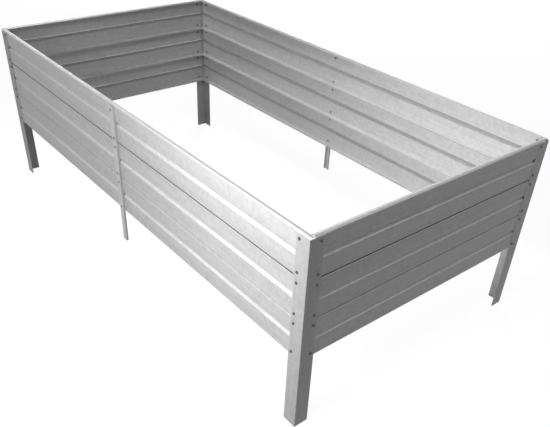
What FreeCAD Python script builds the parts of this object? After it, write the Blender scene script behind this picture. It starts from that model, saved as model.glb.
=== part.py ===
import FreeCAD, Part
import math
import os
import Sketcher

# Raised garden bed of galvanised sheet steel, without a bottom.
# Three folded boards stand on each other in every wall, with their ends bolted inside
# four angle posts. A shallow channel post stiffens each long wall at its middle.
# Millimetres, +Z up. The origin lies on the ground under the middle of the bed,
# X runs along the long walls and Y along the short ones.

SIZES = [
    ("bed_length", 1958),         # over the corner posts, along X
    ("bed_width", 1000),          # over the corner posts, along Y
    ("post_height", 648),         # corner post, from the ground to its square cut top
    ("post_flange", 48.5),        # each leg of the corner angle, outside
    ("post_sheet", 1.5),          # sheet of the angle and channel posts
    ("board_sheet", 1.0),         # sheet of the boards
    ("boards_high", 3),           # boards in one wall
    ("board_pitch", 132),         # height that one board adds to the wall
    ("ground_gap", 259.5),        # ground to the lower edge of the lowest board
    ("seam_gap", 6.5),            # open line seen from outside between two boards
    ("seat_slope", 0.3),          # fall of a board's cap per millimetre inwards
    ("cap_bevel", 4.5),           # how far the bevel above the outer face leans in
    ("cap_reach", 15),            # outer face to the cap's turned down lip
    ("lip_drop", 3.5),            # height of that lip
    ("hook_play", 0.5),           # lip to the hook of the board above
    ("hook_drop", 4),             # height of the hook under a board
    ("rib_start", 56.5),          # board's lower edge to the stiffening groove
    ("rib_depth", 6.5),           # how far the groove is pressed inwards
    ("rib_lower_flank", 9),       # height of the groove's long, upward facing flank
    ("rib_floor", 2.5),           # height of its floor
    ("rib_upper_flank", 3.5),     # height of its short, downward facing flank
    ("end_gap", 3),               # long board's end to the end wall's post flange
    ("butt_gap", 1),              # short board's end to the long board's inner edge
    ("hole_setback", 37),         # outer corner of the bed to the column of bolts
    ("hole_first", 12),           # board's lower edge to its lower bolt
    ("hole_spacing", 99),         # lower bolt to upper bolt of one board
    ("mid_post_width", 25),       # web of the channel post
    ("mid_post_depth", 7.5),      # outer side of its web to the boards
    ("mid_post_foot", 132),       # ground to its lower end
    ("mid_post_hole_rise", 10),   # its lower end to the small hole in the web
    ("mid_post_hole", 5),         # diameter of that hole
    ("bolt_neck", 4.6),           # across the square neck that keeps a bolt from turning
    ("bolt_play", 0.3),           # round the neck in every sheet
    ("bolt_head", 9.5),           # across the low head
    ("bolt_head_rise", 2.75),     # height of the head
    ("bolt_end", 1.5),            # shank beyond the nut
    ("nut_play", 0.1),            # shank to the opening of the nut
    ("nut_across", 8),            # across the flats
    ("nut_rise", 4),              # thickness of the nut
]

LEVELS = ["bottom", "middle", "top"]

doc = FreeCAD.newDocument("raised_garden_bed")
sizes = doc.addObject("Spreadsheet::Sheet", "sizes")
for row, (alias, value) in enumerate(SIZES, start=1):
    sizes.set(f"A{row}", str(value))
    sizes.setAlias(f"A{row}", alias)
doc.recompute()

vector = FreeCAD.Vector
Rule = Sketcher.Constraint


def bind(item, rules):
    """Tie the properties of one object to the sheet."""
    for path, rule in rules.items():
        item.setExpression(path, rule)


def new_body(name):
    """An empty body whose label names its file."""
    body = doc.addObject("PartDesign::Body", name)
    body.Label = name
    return body


def origin_item(body, role):
    """One of the body's own origin planes or axes."""
    return next(item for item in body.Origin.OriginFeatures if item.Role == role)


def new_sketch(body, role, name):
    """A sketch on one of the body's origin planes."""
    sketch = body.newObject("Sketcher::SketchObject", f"{body.Name}_{name}")
    sketch.AttachmentSupport = [(origin_item(body, role), "")]
    sketch.MapMode = "FlatFace"
    return sketch


def measure(sketch, kind, name, rule, *where):
    """Add one dimension and tie it to the sheet."""
    index = sketch.addConstraint(Rule(kind, *where, 1.0))
    sketch.renameConstraint(index, name)
    sketch.setExpression(f"Constraints.{name}", rule)


def place(body, x="0", y="0", z="0", turn=0):
    """Stand a body in the bed: turned about Z, then moved by rules of the sheet."""
    body.Placement = FreeCAD.Placement(vector(), FreeCAD.Rotation(vector(0, 0, 1), turn))
    bind(body, {"Placement.Base.x": x, "Placement.Base.y": y, "Placement.Base.z": z})


# ---- Folded sections -------------------------------------------------------------

def chain_of_lines(sketch, steps, start, construction=False):
    """Lines from corner to corner, measured step by step.

    Each step is (across, up). A rule that starts with a minus sign runs backwards and
    an empty one stands still. The corner with the index start is the sketch's origin.
    """
    corner = vector()
    chain = []
    for across, up in steps:
        signs = [(-1 if rule.startswith("-") else 1) if rule else 0 for rule in (across, up)]
        following = corner + vector(signs[0], signs[1], 0)
        chain.append(sketch.addGeometry(Part.LineSegment(corner, following), construction))
        corner = following
    for first, second in zip(chain, chain[1:]):
        sketch.addConstraint(Rule("Coincident", first, 2, second, 1))
    sketch.addConstraint(Rule("Coincident", chain[start], 1, -1, 1))
    for number, (line, step) in enumerate(zip(chain, steps)):
        for kind, still, rule in zip(("DistanceX", "DistanceY"), ("Vertical", "Horizontal"), step):
            if not rule:
                sketch.addConstraint(Rule(still, line))
                continue
            ends = (2, 1) if rule.startswith("-") else (1, 2)
            name = f"{kind}_{number}"
            measure(sketch, kind, name, rule.lstrip("-"), line, ends[0], line, ends[1])
    sketch.recompute()
    return chain


def fold(before, corner, after, sheet):
    """Where the arc of a fold touches both runs at a corner of the section.

    The sheet lies to the right of the line. A fold is sharp inside and round outside,
    so the line has an arc at a right turn and stays sharp at a left one.
    """
    run_in = (corner - before).normalize()
    run_out = (after - corner).normalize()
    turn = math.atan2(run_in.cross(run_out).z, run_in.dot(run_out))
    radius = sheet if turn < 0 else 0
    reach = radius * math.tan(abs(turn) / 2)
    touch_in = corner - run_in * reach
    touch_out = corner + run_out * reach
    centre = touch_in + vector(run_in.y, -run_in.x, 0) * radius
    return touch_in, touch_out, centre, radius


def folded_section(body, role, steps, start, sheet_alias):
    """A face one sheet thick along the steps, with a fold at every corner."""
    sketch = new_sketch(body, role, "line")
    chain = chain_of_lines(sketch, steps, start, construction=True)
    lines = [sketch.Geometry[index] for index in chain]
    corners = [lines[0].StartPoint] + [line.EndPoint for line in lines]
    sheet = sizes.getPropertyByName(sheet_alias)
    folds = [
        fold(before, corner, after, sheet)
        for before, corner, after in zip(corners, corners[1:], corners[2:])
    ]
    starts = [corners[0]] + [one[1] for one in folds]
    ends = [one[0] for one in folds] + [corners[-1]]
    runs = [
        sketch.addGeometry(Part.LineSegment(first, last), False)
        for first, last in zip(starts, ends)
    ]
    for number, (touch_in, touch_out, centre, radius) in enumerate(folds):
        if not radius:
            sketch.addConstraint(Rule("Coincident", runs[number], 2, runs[number + 1], 1))
            continue
        angles = [
            math.atan2(point.y - centre.y, point.x - centre.x)
            for point in (touch_out, touch_in)
        ]
        circle = Part.Circle(centre, vector(0, 0, 1), radius)
        arc = sketch.addGeometry(Part.ArcOfCircle(circle, *angles), False)
        sketch.addConstraint(Rule("Tangent", runs[number], 2, arc, 2))
        sketch.addConstraint(Rule("Tangent", arc, 1, runs[number + 1], 1))
        measure(sketch, "Radius", f"fold_{number}", f"sizes.{sheet_alias}", arc)
    sketch.addConstraint(Rule("Coincident", runs[0], 1, chain[0], 1))
    sketch.addConstraint(Rule("Coincident", runs[-1], 2, chain[-1], 2))
    for run, line in zip(runs[1:], chain[1:]):
        sketch.addConstraint(Rule("PointOnObject", run, 1, line))
    for run, line in zip(runs[:-1], chain[:-1]):
        sketch.addConstraint(Rule("PointOnObject", run, 2, line))
    sketch.recompute()
    section = body.newObject("PartDesign::SubShapeBinder", f"{body.Name}_section")
    section.Support = [(sketch, ("",))]
    section.OffsetFill = True
    section.OffsetOpenResult = True
    section.MakeFace = True
    bind(section, {"Offset": f"sizes.{sheet_alias}"})
    section.recompute()
    return section


def extrude(body, section, rule, side_type="One side"):
    """Give a section its length."""
    pad = body.newObject("PartDesign::Pad", f"{body.Name}_pad")
    pad.Profile = section
    pad.SideType = side_type
    bind(pad, {"Length": rule})
    pad.recompute()
    return pad


def new_circle(sketch, name, across, up, construction=False):
    """A circle with its centre at a pair of rules from the sketch's origin."""
    start = vector(-1 if across.startswith("-") else 1, 1, 0)
    circle = sketch.addGeometry(Part.Circle(start, vector(0, 0, 1), 5), construction)
    for kind, axis, rule in (("DistanceX", -2, across), ("DistanceY", -1, up)):
        if not rule:
            sketch.addConstraint(Rule("PointOnObject", circle, 3, axis))
            continue
        ends = (circle, 3, -1, 1) if rule.startswith("-") else (-1, 1, circle, 3)
        measure(sketch, kind, f"{name}_{kind}", rule.lstrip("-"), *ends)
    return circle


def even_polygon(sketch, name, sides, across_flats, across="", up=""):
    """Equal sides round a centre, with a flat at the top and at the bottom."""
    ring = new_circle(sketch, name, across, up, construction=True)
    sketch.recompute()
    centre = sketch.Geometry[ring].Center
    step = 2 * math.pi / sides
    first_turn = -math.pi / 2 - step / 2
    points = [
        centre + vector(math.cos(first_turn + step * number),
                        math.sin(first_turn + step * number), 0) * 5
        for number in range(sides)
    ]
    lines = [
        sketch.addGeometry(Part.LineSegment(first, last), False)
        for first, last in zip(points, points[1:] + points[:1])
    ]
    for first, second in zip(lines, lines[1:] + lines[:1]):
        sketch.addConstraint(Rule("Coincident", first, 2, second, 1))
        sketch.addConstraint(Rule("PointOnObject", second, 1, ring))
    for line in lines[1:]:
        sketch.addConstraint(Rule("Equal", lines[0], line))
    sketch.addConstraint(Rule("Horizontal", lines[0]))
    opposite = lines[sides // 2]
    measure(sketch, "DistanceY", f"{name}_flats", across_flats, lines[0], 1, opposite, 2)


def cut_through(body, sketch):
    """Cut a sketch through the sheet on both sides of its plane."""
    sketch.recompute()
    pocket = body.newObject("PartDesign::Pocket", f"{sketch.Name}_cut")
    pocket.Profile = sketch
    pocket.Type = "ThroughAll"
    pocket.SideType = "Symmetric"
    pocket.recompute()
    if not pocket.Shape.Volume < pocket.BaseFeature.Shape.Volume:
        raise RuntimeError(f"{pocket.Name} removes nothing")
    return pocket


def bolt_holes(body, role, name, centres):
    """Square holes for the bolts' necks. Each centre is a pair of rules on the plane."""
    sketch = new_sketch(body, role, name)
    for number, (across, up) in enumerate(centres):
        even_polygon(sketch, f"hole_{number}", 4, HOLE, across, up)
    return cut_through(body, sketch)


def round_hole(body, role, name, across, up, diameter):
    """One round hole through the sheet."""
    sketch = new_sketch(body, role, name)
    hole = new_circle(sketch, name, across, up)
    measure(sketch, "Diameter", f"{name}_width", diameter, hole)
    return cut_through(body, sketch)


def repeat_up(body, originals, count, spacing, name):
    """Repeat features upwards."""
    pattern = body.newObject("PartDesign::LinearPattern", f"{body.Name}_{name}")
    pattern.Originals = originals
    pattern.Direction = (origin_item(body, "Z_Axis"), [""])
    bind(pattern, {"Occurrences": count, "Length": f"({count} - 1) * {spacing}"})
    body.Tip = pattern
    pattern.recompute()
    return pattern


# ---- Rules that several pieces share ---------------------------------------------

HOLE = "sizes.bolt_neck + 2 * sizes.bolt_play"
HOLE_LOW = "sizes.hole_first"
HOLE_HIGH = "sizes.hole_first + sizes.hole_spacing"
BOARD_DEPTH = "(sizes.cap_reach + sizes.hook_play + sizes.board_sheet)"

# Outer surface of a board, from the free end of the hook below to that of the lip above.
BOARD_STEPS = [
    ("", "sizes.hook_drop"),
    ("-(sizes.cap_reach + sizes.hook_play)",
     "sizes.seat_slope * (sizes.cap_reach + sizes.hook_play)"),
    ("", "sizes.rib_start"),
    ("sizes.rib_depth", "sizes.rib_lower_flank"),
    ("", "sizes.rib_floor"),
    ("-sizes.rib_depth", "sizes.rib_upper_flank"),
    ("", "sizes.board_pitch - sizes.seam_gap - sizes.rib_start - sizes.rib_lower_flank"
         " - sizes.rib_floor - sizes.rib_upper_flank"),
    ("sizes.cap_bevel", "sizes.seam_gap - sizes.seat_slope * sizes.cap_bevel"),
    ("sizes.cap_reach - sizes.cap_bevel",
     "-(sizes.seat_slope * (sizes.cap_reach - sizes.cap_bevel))"),
    ("", "-sizes.lip_drop"),
]
BOARD_LOWER_EDGE = 2


# ---- Boards ----------------------------------------------------------------------

def make_board(name, length, hole_columns):
    """One folded board. Its outer face is the XZ plane and its hook points inwards."""
    body = new_body(name)
    section = folded_section(body, "YZ_Plane", BOARD_STEPS, BOARD_LOWER_EDGE, "board_sheet")
    extrude(body, section, length, "Symmetric")
    bolt_holes(body, "XZ_Plane", "holes",
               [(column, row) for column in hole_columns for row in (HOLE_LOW, HOLE_HIGH)])
    return body


def make_wall(wall, turn, span, x, y, end_loss, extra_columns):
    """The boards of one wall, one above the other."""
    end_column = f"({span} / 2 - sizes.hole_setback)"
    columns = [end_column, f"-{end_column}"] + extra_columns
    boards = []
    for level, word in enumerate(LEVELS):
        board = make_board(f"{wall}_board_{word}", f"{span} - 2 * ({end_loss})", columns)
        place(board, x, y, f"sizes.ground_gap + {level} * sizes.board_pitch", turn)
        boards.append(board)
    return boards


LONG_END = "sizes.post_sheet + sizes.end_gap"
SHORT_END = f"sizes.post_sheet + {BOARD_DEPTH} + sizes.butt_gap"
SIDE_Y = "sizes.bed_width / 2 - sizes.post_sheet"
SIDE_X = "sizes.bed_length / 2 - sizes.post_sheet"

pieces = []
pieces += make_wall("front", 0, "sizes.bed_length", "0", f"-({SIDE_Y})", LONG_END, [""])
pieces += make_wall("back", 180, "sizes.bed_length", "0", SIDE_Y, LONG_END, [""])
pieces += make_wall("right", 90, "sizes.bed_width", SIDE_X, "0", SHORT_END, [])
pieces += make_wall("left", 270, "sizes.bed_width", f"-({SIDE_X})", "0", SHORT_END, [])


# ---- Posts -----------------------------------------------------------------------

FIRST_HOLE = f"sizes.ground_gap + {HOLE_LOW}"
SECOND_HOLE = f"sizes.ground_gap + {HOLE_HIGH}"
CORNERS = {
    "front_left": (0, "-sizes.bed_length / 2", "-sizes.bed_width / 2"),
    "front_right": (90, "sizes.bed_length / 2", "-sizes.bed_width / 2"),
    "back_right": (180, "sizes.bed_length / 2", "sizes.bed_width / 2"),
    "back_left": (270, "-sizes.bed_length / 2", "sizes.bed_width / 2"),
}
MIDDLES = {
    "front": (0, "-sizes.mid_post_width / 2", f"-({SIDE_Y} + sizes.mid_post_depth)"),
    "back": (180, "sizes.mid_post_width / 2", f"{SIDE_Y} + sizes.mid_post_depth"),
}


def make_corner_post(name):
    """Angle with its outer corner on the Z axis and its legs along +X and +Y."""
    body = new_body(name)
    steps = [("-sizes.post_flange", ""), ("", "sizes.post_flange")]
    section = folded_section(body, "XY_Plane", steps, 1, "post_sheet")
    extrude(body, section, "sizes.post_height")
    column = [("sizes.hole_setback", FIRST_HOLE), ("sizes.hole_setback", SECOND_HOLE)]
    side_holes = bolt_holes(body, "XZ_Plane", "side_holes", column)
    end_holes = bolt_holes(body, "YZ_Plane", "end_holes", column)
    repeat_up(body, [side_holes, end_holes], "sizes.boards_high", "sizes.board_pitch", "rows")
    return body


def make_mid_post(name):
    """Channel with the left corner of its web on the Z axis and its legs along +Y."""
    body = new_body(name)
    steps = [
        ("", "-sizes.mid_post_depth"),
        ("-sizes.mid_post_width", ""),
        ("", "sizes.mid_post_depth"),
    ]
    section = folded_section(body, "XY_Plane", steps, 2, "post_sheet")
    extrude(body, section, "sizes.post_height - sizes.mid_post_foot")
    middle = "sizes.mid_post_width / 2"
    round_hole(body, "XZ_Plane", "foot_hole", middle, "sizes.mid_post_hole_rise",
               "sizes.mid_post_hole")
    column = [(middle, f"{rule} - sizes.mid_post_foot") for rule in (FIRST_HOLE, SECOND_HOLE)]
    holes = bolt_holes(body, "XZ_Plane", "holes", column)
    repeat_up(body, [holes], "sizes.boards_high", "sizes.board_pitch", "rows")
    return body


# ---- Bolts and nuts --------------------------------------------------------------

# Which way the bolts of a wall point in a post's frame: the plane of the sheet, and
# whether the bed's inside lies behind that plane's own front.
SHEET_PLANES = {"side": ("XZ_Plane", True), "end": ("YZ_Plane", False)}


def fastener_sketch(body, side, name, sides, across_flats, setback, up, depth):
    """A polygon round the axis of the lowest bolt, at a depth under the post's face."""
    role, inside_is_behind = SHEET_PLANES[side]
    sketch = new_sketch(body, role, f"{side}_{name}")
    bind(sketch, {"AttachmentOffset.Base.z": f"-({depth})" if inside_is_behind else depth})
    even_polygon(sketch, name, sides, across_flats, setback, up)
    sketch.recompute()
    return sketch


def grow(body, sketch, length, inwards, inside_is_behind):
    """A prism from a sketch, towards the bed's inside or away from it."""
    pad = body.newObject("PartDesign::Pad", f"{sketch.Name}_solid")
    pad.Profile = sketch
    pad.Reversed = inwards == inside_is_behind
    bind(pad, {"Length": length})
    pad.recompute()
    return pad


def fastener_rows(body, originals):
    """Repeat for all boards, and for both holes of a board."""
    pattern = repeat_up(body, originals, "sizes.boards_high", "sizes.board_pitch", "rows")
    pattern.Direction2 = (origin_item(body, "Z_Axis"), [""])
    pattern.Occurrences2 = 2
    bind(pattern, {"Length2": "sizes.hole_spacing"})
    pattern.recompute()


def make_bolts(name, sides, setback, grip):
    """Bolts with low heads on the post and square necks through both sheets."""
    body = new_body(name)
    solids = []
    for side in sides:
        behind = SHEET_PLANES[side][1]
        neck = fastener_sketch(body, side, "neck", 4, "sizes.bolt_neck", setback,
                               FIRST_HOLE, "0")
        length = f"{grip} + sizes.nut_rise + sizes.bolt_end"
        solids.append(grow(body, neck, length, True, behind))
        head = fastener_sketch(body, side, "head", 8, "sizes.bolt_head", setback,
                               FIRST_HOLE, "0")
        solids.append(grow(body, head, "sizes.bolt_head_rise", False, behind))
    fastener_rows(body, solids)
    return body


def make_nuts(name, sides, setback, grip):
    """Nuts on the inner face of the boards, one to each bolt."""
    body = new_body(name)
    solids = []
    for side in sides:
        nut = fastener_sketch(body, side, "flats", 6, "sizes.nut_across", setback,
                              FIRST_HOLE, grip)
        even_polygon(nut, "opening", 4, "sizes.bolt_neck + 2 * sizes.nut_play", setback,
                     FIRST_HOLE)
        solids.append(grow(body, nut, "sizes.nut_rise", True, SHEET_PLANES[side][1]))
    fastener_rows(body, solids)
    return body


# ---- Posts and their fasteners in place ------------------------------------------

CORNER_GRIP = "sizes.post_sheet + sizes.board_sheet"
MID_GRIP = "sizes.mid_post_depth + sizes.board_sheet"

for corner, (turn, x, y) in CORNERS.items():
    post = make_corner_post(f"corner_post_{corner}")
    bolts = make_bolts(f"bolts_corner_{corner}", ["side", "end"], "sizes.hole_setback",
                       CORNER_GRIP)
    nuts = make_nuts(f"nuts_corner_{corner}", ["side", "end"], "sizes.hole_setback",
                     CORNER_GRIP)
    for piece in (post, bolts, nuts):
        place(piece, x, y, "0", turn)
        pieces.append(piece)

for side, (turn, x, y) in MIDDLES.items():
    post = make_mid_post(f"mid_post_{side}")
    place(post, x, y, "sizes.mid_post_foot", turn)
    bolts = make_bolts(f"bolts_mid_{side}", ["side"], "sizes.mid_post_width / 2", MID_GRIP)
    nuts = make_nuts(f"nuts_mid_{side}", ["side"], "sizes.mid_post_width / 2", MID_GRIP)
    for piece in (bolts, nuts):
        place(piece, x, y, "0", turn)
    pieces += [post, bolts, nuts]


# ---- Check and write -------------------------------------------------------------

doc.recompute()
for item in doc.Objects:
    if "Invalid" in item.State or "Error" in item.State:
        raise RuntimeError(f"{item.Name} did not build")
os.makedirs("parts", exist_ok=True)
for piece in pieces:
    if piece.Shape.isNull() or not piece.Shape.isValid():
        raise RuntimeError(f"{piece.Label} has no valid shape")
    piece.Shape.exportStep(f"parts/{piece.Label}.step")
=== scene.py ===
import math

import bpy
from mathutils import Matrix, Vector


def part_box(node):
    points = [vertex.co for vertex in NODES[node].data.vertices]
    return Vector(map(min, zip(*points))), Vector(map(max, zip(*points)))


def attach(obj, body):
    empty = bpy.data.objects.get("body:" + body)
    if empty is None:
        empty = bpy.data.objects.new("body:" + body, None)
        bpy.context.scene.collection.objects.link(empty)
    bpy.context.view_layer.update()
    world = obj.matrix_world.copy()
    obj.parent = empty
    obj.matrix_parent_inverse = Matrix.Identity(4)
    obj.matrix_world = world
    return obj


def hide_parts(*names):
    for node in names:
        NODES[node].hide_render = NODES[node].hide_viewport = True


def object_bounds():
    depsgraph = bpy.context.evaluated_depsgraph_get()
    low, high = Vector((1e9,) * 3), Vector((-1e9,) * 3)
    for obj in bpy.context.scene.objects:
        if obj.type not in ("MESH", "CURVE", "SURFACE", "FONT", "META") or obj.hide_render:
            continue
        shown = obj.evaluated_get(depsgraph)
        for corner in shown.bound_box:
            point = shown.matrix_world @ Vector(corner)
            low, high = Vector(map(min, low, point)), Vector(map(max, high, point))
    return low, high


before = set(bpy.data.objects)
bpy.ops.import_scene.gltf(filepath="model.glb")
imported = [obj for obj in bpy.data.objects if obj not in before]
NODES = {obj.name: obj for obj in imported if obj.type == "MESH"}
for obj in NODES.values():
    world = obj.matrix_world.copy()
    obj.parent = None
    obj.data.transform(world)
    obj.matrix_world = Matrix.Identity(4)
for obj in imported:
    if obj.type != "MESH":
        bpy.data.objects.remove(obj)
CAD_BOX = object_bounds()

bl_info = {
    "name": "Raised Garden Bed",
    "version": (1, 0, 0),
    "blender": (4, 5, 0),
    "location": "View3D > Sidebar > Garden Bed",
    "description": "Dresses a garden bed of galvanised sheet steel and sets its studio",
    "category": "Object",
}

LONG_WALLS = ("front", "back")
END_WALLS = ("right", "left")
LEVELS = ("bottom", "middle", "top")
CORNERS = ("front_left", "front_right", "back_right", "back_left")

# Heights above a board's lower edge, from and to, in metres: the floor of a groove, painted
# with shade, and the seam gap, whose upper part is painted with shadow
GROOVE_FLOOR = (0.0652, 0.069)
SEAM_LINE = (0.1266, 0.1335)
# Heights above the ground at which a tone changes, in metres: the painted seam shadow is at
# half strength below the upper seam, and no painted highlight or seam shadow lies above the rim
UPPER_SEAM = (0.42, 0.48)
RIM = (0.6, 0.62)
# Upward share of a face's normal, from and to: slopes get a painted highlight, and the long
# walls' inner ledges are made darker
SLOPES = (0.4, 0.91)
LEDGES = (0.8, 0.91)
# Scale of the rolling streaks on X, Y and Z: small along the sheet, large across it
ALONG_X = (3, 300, 300)
ALONG_Y = (300, 3, 300)
ALONG_Z = (300, 300, 3)
NO_GRAIN = (300, 300, 300)
# Share of the crystals' tone and of their frost in the roughness
CRYSTAL_GLOSS = 0.12
FROST_GLOSS = 0.1
# Distances from the bed between which the floor turns white, in metres
FLOOR_FADE = (2.5, 7.0)
FLOOR_WIDTH = 60.0
# Name, place, point aimed at, width, and spread in degrees
LAMPS = (
    ("Front", (0.3, -4.5, 2.2), (0.2, 0.0, 0.4), 2.0, 180),
    ("Corner", (0.85, -2.6, 1.7), (0.9, -0.2, 0.45), 0.8, 70),
    ("Inner", (0.6, -2.4, 2.0), (0.78, 0.5, 0.5), 0.5, 36),
    ("Rim", (-1.2, -0.55, 3.4), (-0.6, -0.45, 0.65), 0.6, 45),
    ("Top", (1.5, -1.3, 4.5), (0.2, 0.0, 0.4), 1.2, 70),
    ("Side", (4.4, 0.2, 3.0), (0.0, 0.0, 0.4), 2.0, 180),
    ("Back", (-4.2, 4.4, 1.7), (-0.3, 0.2, 0.4), 2.4, 180),
)


# ---- Sizes and colours a user would change ---------------------------------------

def colour(name, description, default):
    return bpy.props.FloatVectorProperty(
        name=name, description=description, default=default, size=3,
        subtype="COLOR", min=0.0, max=1.0)


def length(name, description, default):
    return bpy.props.FloatProperty(
        name=name, description=description, default=default, unit="LENGTH")


def share(name, description, default):
    return bpy.props.FloatProperty(
        name=name, description=description, default=default, min=0.0, max=1.0,
        subtype="FACTOR")


def number(name, description, default):
    return bpy.props.FloatProperty(name=name, description=description, default=default)


class BED_PG_zinc(bpy.types.PropertyGroup):
    """Colour and texture of the galvanised sheet."""

    board_colour: colour("Boards", "Colour of the folded boards", (0.57, 0.57, 0.57))
    post_colour: colour("Corner posts", "Colour of the corner angles", (0.49, 0.49, 0.49))
    # Painted shade: the front left post is given a darker colour where the light falls off at
    # the left.
    shaded_post_colour: colour("Left post", "Colour of the darker post at the front left",
                             (0.36, 0.36, 0.36))
    mid_post_colour: colour("Mid posts", "Colour of the channel posts", (0.64, 0.64, 0.64))
    # The corner and mid bolts are one zinc in two tones, lit and shaded copies: painted shade
    # makes the corner bolts dark, and the mid bolts are painted lighter.
    bolt_colour: colour("Corner bolts", "Colour of the bolts in the corners", (0.1, 0.1, 0.1))
    mid_bolt_colour: colour("Mid bolts", "Colour of the bolts in the channels", (0.3, 0.3, 0.3))
    nut_colour: colour("Nuts", "Colour of the nuts", (0.22, 0.22, 0.22))
    metal: share("Metal", "How much of the light mirrors in the zinc", 0.1)
    roughness: share("Roughness", "Roughness of the sheet's zinc", 0.42)
    fastener_roughness: share("Fasteners", "Roughness of the bolts and nuts", 0.36)
    spangle_size: length("Spangle", "Width of one zinc crystal", 0.011)
    spangle_depth: share("Spangle depth", "Difference in tone between crystals", 0.12)
    hook_height: length("Hook", "Height of a board's hook under its lower edge", 0.00865)
    # Painted highlight: the rolled slopes that face upwards are painted lighter, as light from
    # above falls on them.
    slope_highlight: share("Slope highlight", "How much brighter the rolled slopes are", 0.26)
    # Painted shade on the recessed floor of each groove.
    groove_shade: share("Groove shade", "How much darker the floor of a groove is", 0.42)
    # Painted shadow on the upper part of each seam gap, under the edge of the board above; half
    # as strong on the lower seams.
    seam_shadow: share("Seam shadow", "How much darker the upper seams are", 0.88)
    # The up-facing inner ledges of the long walls are painted darker.
    ledge_darkening: share("Ledge darkening", "How much darker the long walls' inner ledges are", 0.6)
    streak_depth: share("Streak depth", "Tone of the rolling streaks along the sheet", 0.15)


class BED_PG_fasteners(bpy.types.PropertyGroup):
    """Forms of the bolts and nuts."""

    head_rise: length("Head height", "Height of the bolt's head", 0.00275)
    dome_share: share("Dome", "Part of the head's height that is rounded", 0.85)
    shank: length("Shank", "Diameter of the threaded shank", 0.0046)
    thread_pitch: length("Thread pitch", "Height of one turn of the thread", 0.0008)
    thread_depth: length("Thread depth", "Depth of the thread", 0.0003)
    thread_length: length("Thread length", "Threaded end of the shank", 0.0056)
    nut_chamfer: length("Nut chamfer", "Chamfer round the nut's corners", 0.0005)


class BED_PG_stage(bpy.types.PropertyGroup):
    """Camera, lamps and floor."""

    camera_place: bpy.props.FloatVectorProperty(
        name="Camera", description="Place of the camera", unit="LENGTH", size=3,
        default=(1.8977, -1.3838, 1.4767))
    camera_aim: bpy.props.FloatVectorProperty(
        name="Aim", description="Point that the camera looks at", unit="LENGTH", size=3,
        default=(0.6708, -0.3222, 0.3))
    camera_roll: bpy.props.FloatProperty(
        name="Roll", description="Turn of the camera about its own axis",
        default=math.radians(3.1475), unit="ROTATION")
    lens: number("Lens", "Focal length in millimetres on a 36 mm sensor", 42.64)
    shift_x: number("Shift X", "Sideways shift of the lens", -0.00823)
    shift_y: number("Shift Y", "Upward shift of the lens", 0.1066)
    front_power: number("Front", "Power of the large lamp in front of the long wall", 57.0)
    corner_power: number("Corner", "Power of the lamp that brightens the near corner", 6.3)
    inner_power: number("Inner", "Power of the lamp on the back wall's inner side", 2.2)
    rim_power: number("Rim", "Power of the lamp over the left end of the front wall", 4.5)
    top_power: number("Top", "Power of the large lamp overhead", 8.8)
    side_power: number("Side", "Power of the lamp beside the end wall", 12.0)
    back_power: number("Back", "Power of the large lamp behind the left corner", 190.0)
    sky: share("Sky", "Strength of the even light from all round", 0.02)
    floor_colour: colour("Floor", "Colour of the floor", (0.12, 0.12, 0.12))
    floor_glow: share("Floor glow", "Brightness of the floor near the bed, 1 is white", 0.93)


# ---- Shader groups ---------------------------------------------------------------

def new_group(name, inputs, outputs):
    """A shader node group with named sockets: (name, kind, default)."""
    group = bpy.data.node_groups.new(name, "ShaderNodeTree")
    for label, kind, default in inputs:
        socket = group.interface.new_socket(label, in_out="INPUT", socket_type=kind)
        if default is not None:
            socket.default_value = default
    for label, kind in outputs:
        group.interface.new_socket(label, in_out="OUTPUT", socket_type=kind)
    entry = group.nodes.new("NodeGroupInput")
    leave = group.nodes.new("NodeGroupOutput")
    return group, entry, leave


def maths(tree, operation, first, second):
    """A Math node fed by sockets or plain numbers."""
    node = tree.nodes.new("ShaderNodeMath")
    node.operation = operation
    for socket, value in zip(node.inputs, (first, second)):
        if isinstance(value, (int, float)):
            socket.default_value = value
        else:
            tree.links.new(value, socket)
    return node.outputs[0]


def ramp(tree, value, low, high):
    """0 below a value and 1 above another, with a soft rise between them."""
    node = tree.nodes.new("ShaderNodeMapRange")
    node.interpolation_type = "SMOOTHSTEP"
    node.inputs["From Min"].default_value = low
    node.inputs["From Max"].default_value = high
    tree.links.new(value, node.inputs["Value"])
    return node.outputs[0]


def band(tree, value, low, high, soft):
    """1 between two values, with soft borders."""
    inside = ramp(tree, value, low - soft, low + soft)
    beyond = ramp(tree, value, high - soft, high + soft)
    return maths(tree, "MULTIPLY", inside, maths(tree, "SUBTRACT", 1.0, beyond))


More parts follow.
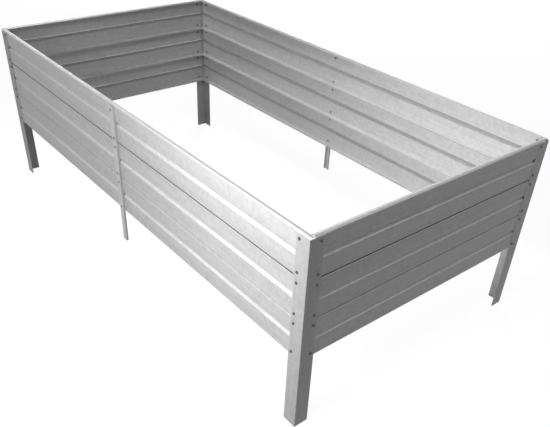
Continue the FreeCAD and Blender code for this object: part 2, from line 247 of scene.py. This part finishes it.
def fold_group():
    """Masks of a rolled board's painted highlight and shade: its slopes, groove floors, seams
    and inner ledges.
    """
    group, entry, leave = new_group(
        "Board folds",
        [("Vector", "NodeSocketVector", None), ("Normal", "NodeSocketVector", None),
         ("Ground gap", "NodeSocketFloat", 0.26), ("Pitch", "NodeSocketFloat", 0.132)],
        [("Slope", "NodeSocketFloat"), ("Groove", "NodeSocketFloat"),
         ("Seam", "NodeSocketFloat"), ("Ledge", "NodeSocketFloat")])
    link = group.links.new
    place = group.nodes.new("ShaderNodeSeparateXYZ")
    facing = group.nodes.new("ShaderNodeSeparateXYZ")
    link(entry.outputs["Vector"], place.inputs[0])
    link(entry.outputs["Normal"], facing.inputs[0])
    rise = maths(group, "SUBTRACT", place.outputs["Z"], entry.outputs["Ground gap"])
    rise = maths(group, "ADD", rise, entry.outputs["Pitch"])
    on_board = maths(group, "MODULO", rise, entry.outputs["Pitch"])
    # Painted highlight on the up-facing slopes; none above the rim.
    slope = band(group, facing.outputs["Z"], *SLOPES, 0.03)
    link(band(group, facing.outputs["Z"], *LEDGES, 0.03), leave.inputs["Ledge"])
    # Painted shade on each groove's floor.
    link(band(group, on_board, *GROOVE_FLOOR, 0.0003), leave.inputs["Groove"])
    low = maths(group, "SUBTRACT", 1.0, ramp(group, place.outputs["Z"], *RIM))
    # Painted shadow in the seam gaps, full on the upper seams and half on the lower ones.
    seam = maths(group, "MULTIPLY", slope, band(group, on_board, *SEAM_LINE, 0.0005))
    upper = maths(group, "MULTIPLY", ramp(group, place.outputs["Z"], *UPPER_SEAM), 0.5)
    seam = maths(group, "MULTIPLY", seam, maths(group, "ADD", upper, 0.5))
    link(maths(group, "MULTIPLY", low, slope), leave.inputs["Slope"])
    link(maths(group, "MULTIPLY", low, seam), leave.inputs["Seam"])
    return group


def spangle_group():
    """Zinc crystals: one tone to each cell, with fine frost inside it."""
    group, entry, leave = new_group(
        "Zinc spangle",
        [("Vector", "NodeSocketVector", None), ("Cell width", "NodeSocketFloat", 0.011)],
        [("Tone", "NodeSocketFloat"), ("Frost", "NodeSocketFloat")])
    scale = maths(group, "DIVIDE", 1.0, entry.outputs["Cell width"])
    warp = group.nodes.new("ShaderNodeTexNoise")
    warp.inputs["Scale"].default_value = 90.0
    bend = group.nodes.new("ShaderNodeVectorMath")
    bend.operation = "MULTIPLY_ADD"
    bend.inputs[1].default_value = (0.006,) * 3
    cells = group.nodes.new("ShaderNodeTexVoronoi")
    frost = group.nodes.new("ShaderNodeTexNoise")
    frost.inputs["Scale"].default_value = 700.0
    frost.inputs["Detail"].default_value = 3.0
    link = group.links.new
    link(entry.outputs["Vector"], warp.inputs["Vector"])
    link(warp.outputs["Color"], bend.inputs[0])
    link(entry.outputs["Vector"], bend.inputs[2])
    link(bend.outputs[0], cells.inputs["Vector"])
    link(scale, cells.inputs["Scale"])
    link(entry.outputs["Vector"], frost.inputs["Vector"])
    tone = group.nodes.new("ShaderNodeSeparateColor")
    link(cells.outputs["Color"], tone.inputs[0])
    link(tone.outputs[0], leave.inputs["Tone"])
    link(frost.outputs[0], leave.inputs["Frost"])
    return group


def streak_group():
    """Long faint streaks that run the way the sheet was rolled."""
    group, entry, leave = new_group(
        "Rolling streaks",
        [("Vector", "NodeSocketVector", None)],
        [("Streak", "NodeSocketFloat"), ("Cloud", "NodeSocketFloat")])
    fine = group.nodes.new("ShaderNodeTexNoise")
    fine.inputs["Scale"].default_value = 1.0
    fine.inputs["Detail"].default_value = 4.0
    cloud = group.nodes.new("ShaderNodeTexNoise")
    cloud.inputs["Scale"].default_value = 0.06
    cloud.inputs["Detail"].default_value = 2.0
    group.links.new(entry.outputs["Vector"], fine.inputs["Vector"])
    group.links.new(entry.outputs["Vector"], cloud.inputs["Vector"])
    group.links.new(fine.outputs[0], leave.inputs["Streak"])
    group.links.new(cloud.outputs[0], leave.inputs["Cloud"])
    return group


def shared_group(name, make):
    """A group that is built once."""
    return bpy.data.node_groups.get(name) or make()


# ---- Materials -------------------------------------------------------------------

def board_tone(tree, place, ledge_darkening):
    """Factor on a board's colour: painted highlight on its slopes, painted shade in its grooves
    and seams, and darker inner ledges.
    """
    zinc = bpy.context.scene.bed_zinc
    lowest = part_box("front_board_bottom")[0].z
    folds = tree.nodes.new("ShaderNodeGroup")
    folds.node_tree = shared_group("Board folds", fold_group)
    folds.inputs["Ground gap"].default_value = lowest + zinc.hook_height
    folds.inputs["Pitch"].default_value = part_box("front_board_middle")[0].z - lowest
    tree.links.new(place.outputs["Object"], folds.inputs["Vector"])
    tree.links.new(place.outputs["Normal"], folds.inputs["Normal"])
    # Painted highlight on the up-facing slopes.
    bright = maths(tree, "MULTIPLY", folds.outputs["Slope"], zinc.slope_highlight)
    factor = maths(tree, "ADD", bright, 1.0)
    # Painted shade in the grooves, painted shadow in the seams, and darker ledges.
    darkening = {"Groove": zinc.groove_shade, "Seam": zinc.seam_shadow, "Ledge": ledge_darkening}
    for output, depth in darkening.items():
        loss = maths(tree, "MULTIPLY", folds.outputs[output], depth)
        factor = maths(tree, "MULTIPLY", factor, maths(tree, "SUBTRACT", 1.0, loss))
    return factor


def zinc_material(name, base, grain, spangle_depth, roughness, ledge_darkening=None):
    """Zinc with crystals and streaks. Only a board is given a value for its ledges, and only a
    board gets painted highlight and shade from its folds.
    """
    zinc = bpy.context.scene.bed_zinc
    material = bpy.data.materials.new(name)
    material.use_nodes = True
    tree = material.node_tree
    link = tree.links.new
    surface = tree.nodes["Principled BSDF"]
    surface.inputs["Metallic"].default_value = zinc.metal
    surface.inputs["Specular IOR Level"].default_value = 0.3
    place = tree.nodes.new("ShaderNodeTexCoord")

    spangle = tree.nodes.new("ShaderNodeGroup")
    spangle.node_tree = shared_group("Zinc spangle", spangle_group)
    spangle.inputs["Cell width"].default_value = zinc.spangle_size
    link(place.outputs["Object"], spangle.inputs["Vector"])

    stretch = tree.nodes.new("ShaderNodeMapping")
    stretch.inputs["Scale"].default_value = grain
    streaks = tree.nodes.new("ShaderNodeGroup")
    streaks.node_tree = shared_group("Rolling streaks", streak_group)
    link(place.outputs["Object"], stretch.inputs["Vector"])
    link(stretch.outputs[0], streaks.inputs["Vector"])

    tone = maths(tree, "MULTIPLY", spangle.outputs["Tone"], spangle_depth)
    streak = maths(tree, "MULTIPLY", streaks.outputs["Streak"], zinc.streak_depth * 2)
    cloud = maths(tree, "MULTIPLY", streaks.outputs["Cloud"], zinc.streak_depth * 2)
    light = maths(tree, "ADD", maths(tree, "ADD", tone, streak), cloud)
    offset = 1.0 - spangle_depth / 2 - zinc.streak_depth * 2
    factor = maths(tree, "ADD", light, offset)
    # A board's colour also carries painted highlight and shade from its folds.
    if ledge_darkening is not None:
        factor = maths(tree, "MULTIPLY", factor, board_tone(tree, place, ledge_darkening))
    paint = tree.nodes.new("ShaderNodeVectorMath")
    paint.operation = "SCALE"
    paint.inputs[0].default_value = base
    link(factor, paint.inputs["Scale"])
    link(paint.outputs[0], surface.inputs["Base Color"])

    gloss = maths(tree, "MULTIPLY", spangle.outputs["Tone"], CRYSTAL_GLOSS)
    frost = maths(tree, "MULTIPLY", spangle.outputs["Frost"], FROST_GLOSS)
    offset = roughness - (CRYSTAL_GLOSS + FROST_GLOSS) / 2
    link(maths(tree, "ADD", maths(tree, "ADD", gloss, frost), offset),
         surface.inputs["Roughness"])

    bump = tree.nodes.new("ShaderNodeBump")
    bump.inputs["Strength"].default_value = 0.15
    bump.inputs["Distance"].default_value = 0.0004
    link(spangle.outputs["Frost"], bump.inputs["Height"])
    link(bump.outputs[0], surface.inputs["Normal"])
    return material


def give(node, material):
    """Put one material on a CAD node."""
    data = NODES[node].data
    data.materials.clear()
    data.materials.append(material)


# ---- Small helpers for modelling -------------------------------------------------

def only(piece):
    """Make one object the only selected one, and the active one."""
    bpy.ops.object.select_all(action="DESELECT")
    piece.select_set(True)
    bpy.context.view_layer.objects.active = piece


def islands(node):
    """Low and high corner of each separate solid in a CAD node, from bottom to top."""
    copy = NODES[node].copy()
    copy.data = NODES[node].data.copy()
    copy.parent = None
    bpy.context.scene.collection.objects.link(copy)
    only(copy)
    bpy.ops.object.mode_set(mode="EDIT")
    bpy.ops.mesh.select_all(action="SELECT")
    bpy.ops.mesh.remove_doubles(threshold=0.00001)
    bpy.ops.mesh.separate(type="LOOSE")
    bpy.ops.object.mode_set(mode="OBJECT")
    parts = list(bpy.context.selected_objects)
    boxes = []
    for part in parts:
        points = [vertex.co for vertex in part.data.vertices]
        low = Vector([min(point[axis] for point in points) for axis in range(3)])
        high = Vector([max(point[axis] for point in points) for axis in range(3)])
        boxes.append((low, high))
    for part in parts:
        bpy.data.objects.remove(part)
    return sorted(boxes, key=lambda corners: corners[0].z)


def select_faces(piece, wanted):
    """Enter edit mode with only the faces selected that the test wants."""
    bpy.ops.object.mode_set(mode="EDIT")
    bpy.ops.mesh.select_mode(type="FACE")
    bpy.ops.mesh.select_all(action="DESELECT")
    bpy.ops.object.mode_set(mode="OBJECT")
    for face in piece.data.polygons:
        face.select = wanted(face)
    bpy.ops.object.mode_set(mode="EDIT")


def add_cylinder(name, sides, radius, top, bottom):
    """A capped cylinder round the Z axis, with its mesh measured from the origin."""
    bpy.ops.object.select_all(action="DESELECT")
    bpy.ops.mesh.primitive_cylinder_add(
        vertices=sides, radius=radius, depth=top - bottom, location=(0, 0, (top + bottom) / 2))
    piece = bpy.context.active_object
    piece.name = name
    bpy.ops.object.transform_apply()
    return piece


def extrude_down(drop, scale):
    """Extrude the selected face downwards, then widen or narrow it about the axis."""
    bpy.ops.mesh.extrude_region_move(TRANSFORM_OT_translate={"value": (0, 0, -drop)})
    bpy.ops.transform.resize(value=(scale, scale, 1), center_override=(0, 0, 0))


def model_bolt(length, width):
    """A bolt with a low round head. It hangs down from the middle of its head."""
    form = bpy.context.scene.bed_fasteners
    bolt = add_cylinder("bolt", 24, width / 2, 0.0, -form.head_rise)
    select_faces(bolt, lambda face: face.normal.z > 0.9)
    bpy.ops.mesh.bevel(offset=form.head_rise * form.dome_share, segments=5, affect="EDGES")
    select_faces(bolt, lambda face: face.normal.z < -0.9)
    bpy.ops.mesh.inset(thickness=(width - form.shank) / 2)
    extrude_down(length - form.head_rise - form.thread_length, 1)
    narrow = 1 - 2 * form.thread_depth / form.shank
    for _ in range(int(form.thread_length / form.thread_pitch)):
        extrude_down(form.thread_pitch / 2, narrow)
        extrude_down(form.thread_pitch / 2, 1 / narrow)
    bpy.ops.object.mode_set(mode="OBJECT")
    return bolt


def model_nut(across, height):
    """A hexagon nut round the Z axis, with two flats across X."""
    form = bpy.context.scene.bed_fasteners
    nut = add_cylinder("nut", 6, across / math.sqrt(3), height / 2, -height / 2)
    select_faces(nut, lambda face: abs(face.normal.z) > 0.9)
    bpy.ops.mesh.bevel(offset=form.nut_chamfer, segments=2, affect="EDGES")
    select_faces(nut, lambda face: abs(face.normal.z) > 0.9)
    bpy.ops.mesh.inset(thickness=(across - form.shank) / 2 - form.nut_chamfer - 0.0001)
    bpy.ops.mesh.bridge_edge_loops()
    bpy.ops.object.mode_set(mode="OBJECT")
    return nut


def facing(middle, outward):
    """A place whose Z axis points outwards and whose X axis points up."""
    up = Vector((0, 0, 1))
    turn = Matrix((up, outward.cross(up), outward)).transposed()
    return Matrix.Translation(middle) @ turn.to_4x4()


def lay_out(piece, places, name):
    """Copy a piece to every place, each with a mesh of its own, and join the copies."""
    copies = []
    for place in places:
        copy = piece.copy()
        copy.data = piece.data.copy()
        bpy.context.scene.collection.objects.link(copy)
        copy.matrix_world = place
        copies.append(copy)
    bpy.data.objects.remove(piece)
    bpy.ops.object.select_all(action="DESELECT")
    for copy in copies:
        copy.select_set(True)
    bpy.context.view_layer.objects.active = copies[0]
    bpy.ops.object.transform_apply()
    bpy.ops.object.join()
    group = bpy.context.active_object
    group.name = name
    bpy.ops.object.shade_smooth_by_angle(angle=math.radians(35))
    return group


def bolt_axis(low, high, longest):
    """The level axis along which a fastener's box is longest or shortest, pointing out."""
    size = high - low
    along_x = (size.x > size.y) == longest
    middle = (low + high) / 2
    if along_x:
        return Vector((math.copysign(1, middle.x), 0, 0))
    return Vector((0, math.copysign(1, middle.y), 0))


# ---- Operators -------------------------------------------------------------------

class BED_OT_boards(bpy.types.Operator):
    """Finish the folded boards of the four walls"""

    bl_idname = "bed.boards"
    bl_label = "Boards"

    def execute(self, context):
        zinc = context.scene.bed_zinc
        along_x = zinc_material("Board zinc long walls", zinc.board_colour, ALONG_X,
                                zinc.spangle_depth, zinc.roughness, zinc.ledge_darkening)
        along_y = zinc_material("Board zinc end walls", zinc.board_colour, ALONG_Y,
                                zinc.spangle_depth, zinc.roughness, 0.0)
        for walls, material in ((LONG_WALLS, along_x), (END_WALLS, along_y)):
            for wall in walls:
                for level in LEVELS:
                    give(f"{wall}_board_{level}", material)
        return {"FINISHED"}


class BED_OT_posts(bpy.types.Operator):
    """Finish the corner angles and the channel posts"""

    bl_idname = "bed.posts"
    bl_label = "Posts"

    def execute(self, context):
        zinc = context.scene.bed_zinc
        angle = zinc_material("Corner post zinc", zinc.post_colour, ALONG_Z,
                              zinc.spangle_depth, zinc.roughness)
        # Painted shade: the front left post gets a darker copy of the post zinc.
        shaded_left_post = zinc_material("Dull post zinc", zinc.shaded_post_colour, ALONG_Z,
                             zinc.spangle_depth, zinc.roughness)
        channel = zinc_material("Mid post zinc", zinc.mid_post_colour, ALONG_Z,
                                zinc.spangle_depth, zinc.roughness)
        for corner in CORNERS:
            give(f"corner_post_{corner}", shaded_left_post if corner == "front_left" else angle)
        for side in LONG_WALLS:
            give(f"mid_post_{side}", channel)
        return {"FINISHED"}


class BED_OT_bolts(bpy.types.Operator):
    """Turn every bolt with a rounded head and a threaded end"""

    bl_idname = "bed.bolts"
    bl_label = "Bolts"

    def execute(self, context):
        zinc = context.scene.bed_zinc
        # Lit and shaded copies of one bolt zinc: painted shade on the corner bolts, painted
        # light on the mid bolts.
        bolt_tones = {
            "bolts_corner": zinc_material("Corner bolt zinc", zinc.bolt_colour, NO_GRAIN,
                                          0.0, zinc.fastener_roughness),
            "bolts_mid": zinc_material("Mid bolt zinc", zinc.mid_bolt_colour, NO_GRAIN,
                                       0.0, zinc.fastener_roughness),
        }
        for node in sorted(name for name in NODES if name.startswith("bolts")):
            kind = "_".join(node.split("_")[:2])
            places = []
            for low, high in islands(node):
                outward = bolt_axis(low, high, True)
                length = abs((high - low).dot(outward))
                width = high.z - low.z
                middle = (low + high) / 2 + outward * length / 2
                places.append(facing(middle, outward))
            group = lay_out(model_bolt(length, width), places, node.replace("bolts", "Bolts"))
            group.data.materials.append(bolt_tones[kind])
            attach(group, "root")
            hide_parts(node)
        return {"FINISHED"}


class BED_OT_nuts(bpy.types.Operator):
    """Cut every nut with chamfered corners"""

    bl_idname = "bed.nuts"
    bl_label = "Nuts"

    def execute(self, context):
        zinc = context.scene.bed_zinc
        material = zinc_material("Nut zinc", zinc.nut_colour, NO_GRAIN, 0.0,
                                 zinc.fastener_roughness)
        for node in sorted(name for name in NODES if name.startswith("nuts")):
            places = []
            for low, high in islands(node):
                outward = bolt_axis(low, high, False)
                height = abs((high - low).dot(outward))
                across = high.z - low.z
                places.append(facing((low + high) / 2, outward))
            group = lay_out(model_nut(across, height), places, node.replace("nuts", "Nuts"))
            group.data.materials.append(material)
            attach(group, "root")
            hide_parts(node)
        return {"FINISHED"}


def area_lamp(name, place, aim, size, spread, power):
    """A square soft lamp that points at a place and spreads over some degrees."""
    bpy.ops.object.select_all(action="DESELECT")
    bpy.ops.object.light_add(type="AREA", location=place)
    lamp = bpy.context.active_object
    lamp.name = name
    lamp.rotation_euler = (Vector(aim) - Vector(place)).to_track_quat("-Z", "Y").to_euler()
    lamp.data.shape = "SQUARE"
    lamp.data.size = size
    lamp.data.spread = math.radians(spread)
    lamp.data.energy = power
    return lamp


def background_rays(tree):
    """1 for what the camera, a reflection or glass looks at, 0 for light that spreads."""
    path = tree.nodes.new("ShaderNodeLightPath")
    seen = maths(tree, "ADD", path.outputs["Is Camera Ray"], path.outputs["Is Glossy Ray"])
    seen = maths(tree, "ADD", seen, path.outputs["Is Transmission Ray"])
    return maths(tree, "MINIMUM", seen, 1.0)


def floor_material(base, glow):
    """A pale floor, white where no shadow falls, that hides nothing from below."""
    material = bpy.data.materials.new("Floor")
    material.use_nodes = True
    tree = material.node_tree
    surface = tree.nodes["Principled BSDF"]
    surface.inputs["Base Color"].default_value = (*base, 1.0)
    surface.inputs["Roughness"].default_value = 1.0
    surface.inputs["Specular IOR Level"].default_value = 0.0
    surface.inputs["Emission Color"].default_value = (1.0, 1.0, 1.0, 1.0)
    place = tree.nodes.new("ShaderNodeTexCoord")
    reach = tree.nodes.new("ShaderNodeVectorMath")
    reach.operation = "LENGTH"
    tree.links.new(place.outputs["Object"], reach.inputs[0])
    far = maths(tree, "MULTIPLY", ramp(tree, reach.outputs["Value"], *FLOOR_FADE), 1 - glow)
    bright = maths(tree, "ADD", far, glow)
    seen = maths(tree, "MULTIPLY", background_rays(tree), bright)
    tree.links.new(seen, surface.inputs["Emission Strength"])
    side = tree.nodes.new("ShaderNodeNewGeometry")
    clear = tree.nodes.new("ShaderNodeBsdfTransparent")
    either = tree.nodes.new("ShaderNodeMixShader")
    tree.links.new(side.outputs["Backfacing"], either.inputs[0])
    tree.links.new(surface.outputs[0], either.inputs[1])
    tree.links.new(clear.outputs[0], either.inputs[2])
    tree.links.new(either.outputs[0], tree.nodes["Material Output"].inputs["Surface"])
    return material


def white_world(sky):
    """White where it is seen or mirrored, and an even dim light elsewhere."""
    world = bpy.data.worlds.new("Studio")
    bpy.context.scene.world = world
    world.use_nodes = True
    tree = world.node_tree
    glow = tree.nodes["Background"]
    glow.inputs["Color"].default_value = (1.0, 1.0, 1.0, 1.0)
    seen = background_rays(tree)
    strength = maths(tree, "ADD", maths(tree, "MULTIPLY", seen, 1.0 - sky), sky)
    tree.links.new(strength, glow.inputs["Strength"])


class BED_OT_stage(bpy.types.Operator):
    """Build the floor, the lamps, the world and the camera"""

    bl_idname = "bed.stage"
    bl_label = "Stage"

    def execute(self, context):
        stage = context.scene.bed_stage
        context.scene.view_settings.view_transform = "Standard"
        bpy.ops.object.select_all(action="DESELECT")
        bpy.ops.mesh.primitive_plane_add(size=FLOOR_WIDTH, location=(0.0, 0.0, CAD_BOX[0][2]))
        floor = context.active_object
        floor.name = "Floor"
        floor.data.materials.append(floor_material(stage.floor_colour, stage.floor_glow))
        lamps = {
            lamp[0]: area_lamp(*lamp, getattr(stage, f"{lamp[0].lower()}_power"))
            for lamp in LAMPS
        }
        # Its mirror image would bleach the rim of the right end wall.
        lamps["Back"].visible_glossy = False
        white_world(stage.sky)

        bpy.ops.object.select_all(action="DESELECT")
        bpy.ops.object.camera_add(location=stage.camera_place)
        camera = context.active_object
        camera.name = "Camera"
        aim = Vector(stage.camera_aim) - Vector(stage.camera_place)
        level = aim.to_track_quat("-Z", "Y").to_matrix()
        camera.rotation_euler = (level @ Matrix.Rotation(stage.camera_roll, 3, "Z")).to_euler()
        camera.data.sensor_width = 36.0
        camera.data.lens = stage.lens
        camera.data.shift_x = stage.shift_x
        camera.data.shift_y = stage.shift_y
        context.scene.camera = camera
        return {"FINISHED"}


class BED_PT_panel(bpy.types.Panel):
    """Steps of the garden bed, in the order in which they run"""

    bl_idname = "BED_PT_panel"
    bl_label = "Raised Garden Bed"
    bl_space_type = "VIEW_3D"
    bl_region_type = "UI"
    bl_category = "Garden Bed"

    def draw(self, context):
        for settings in ("bed_zinc", "bed_fasteners", "bed_stage"):
            group = getattr(context.scene, settings)
            column = self.layout.column(align=True)
            for name in group.__annotations__:
                column.prop(group, name)
        for operator in OPERATORS:
            self.layout.operator(operator.bl_idname)


GROUPS = (BED_PG_zinc, BED_PG_fasteners, BED_PG_stage)
OPERATORS = (BED_OT_boards, BED_OT_posts, BED_OT_bolts, BED_OT_nuts, BED_OT_stage)


def register():
    for entry in GROUPS + OPERATORS + (BED_PT_panel,):
        bpy.utils.register_class(entry)
    scene = bpy.types.Scene
    scene.bed_zinc = bpy.props.PointerProperty(type=BED_PG_zinc)
    scene.bed_fasteners = bpy.props.PointerProperty(type=BED_PG_fasteners)
    scene.bed_stage = bpy.props.PointerProperty(type=BED_PG_stage)


def unregister():
    scene = bpy.types.Scene
    del scene.bed_stage
    del scene.bed_fasteners
    del scene.bed_zinc
    for entry in reversed(GROUPS + OPERATORS + (BED_PT_panel,)):
        bpy.utils.unregister_class(entry)


def main():
    register()
    bpy.ops.bed.boards()
    bpy.ops.bed.posts()
    bpy.ops.bed.bolts()
    bpy.ops.bed.nuts()
    bpy.ops.bed.stage()


if __name__ == "__main__":
    main()
